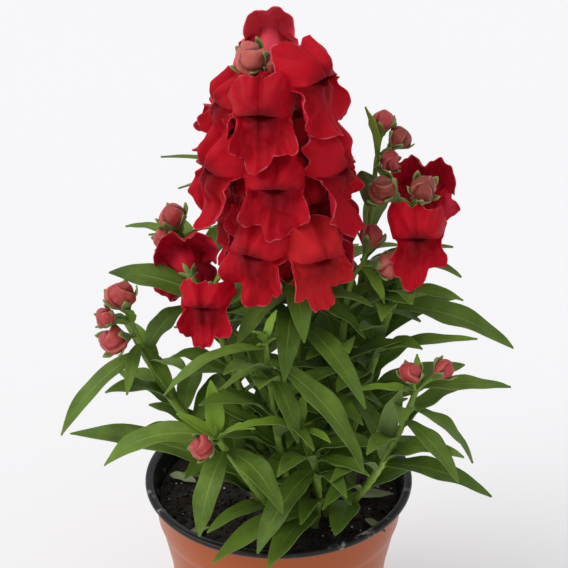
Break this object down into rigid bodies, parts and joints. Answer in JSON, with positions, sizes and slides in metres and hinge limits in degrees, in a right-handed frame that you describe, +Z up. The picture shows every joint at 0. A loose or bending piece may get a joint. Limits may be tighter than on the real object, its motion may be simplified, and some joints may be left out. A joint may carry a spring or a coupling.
{
  "type": "potted snapdragon plant",
  "caption": "Bushy red snapdragon in flower, with a dense spike, side stems, buds and narrow leaves, growing in a round nursery pot of soil.",
  "frame": {"origin": "middle of the flat underside of the pot, which rests on the floor", "axes": "+Z up along the pot's axis; the showy side of the flower spike faces -Y; +X is to the right of someone who looks at that side"},
  "size_m": [0.1896, 0.1393, 0.307],
  "materials": {
    "pot": "smooth satin terracotta-brown plastic, black on the rim and inside",
    "soil": "damp crumbly peat-like potting mix",
    "leaf": "matt living leaf and stem, fresh green",
    "petal": "velvety deep red petal",
    "bud": "downy salmon-red bud"
  },
  "bodies": {
    "root": {"pot": "pot", "soil": "soil", "flower_spike_01": "petal", "flower_spike_02": "petal", "flower_spike_03": "petal", "flower_spike_04": "petal", "flower_spike_05": "petal", "flower_spike_06": "petal", "flower_spike_07": "petal", "flower_spike_08": "petal", "flower_spike_09": "petal", "flower_spike_10": "petal", "flower_spike_11": "petal", "flower_spike_12": "petal", "flower_spike_13": "petal", "flower_spike_14": "petal", "flower_spike_15": "petal", "flower_spike_16": "petal", "flower_spike_17": "petal", "flower_left_a": "petal", "flower_left_b": "petal", "flower_right_a": "petal", "flower_right_b": "petal", "bud_spike_a": "bud", "bud_spike_b": "bud", "bud_front_left": "bud", "bud_front_right_a": "bud", "bud_front_right_b": "bud", "bud_far_left_a": "bud", "bud_far_left_b": "bud", "bud_far_left_c": "bud", "bud_right_raceme_a": "bud", "bud_right_raceme_b": "bud", "bud_inner_right_a": "bud", "bud_inner_right_b": "bud", "bud_top_right_a": "bud", "bud_top_right_b": "bud", "bud_top_right_c": "bud", "bud_back_left_a": "bud", "bud_back_left_b": "bud", "main_stem": "leaf", "front_left_stem": "leaf", "front_right_stem": "leaf", "young_shoot_left": "leaf", "young_shoot_front": "leaf", "left_raceme": "leaf", "far_left_stem": "leaf", "right_raceme": "leaf", "inner_right_stem": "leaf", "top_right_stem": "leaf", "back_stem_left": "leaf", "back_stem_right": "leaf"}
  },
  "joints": []
}
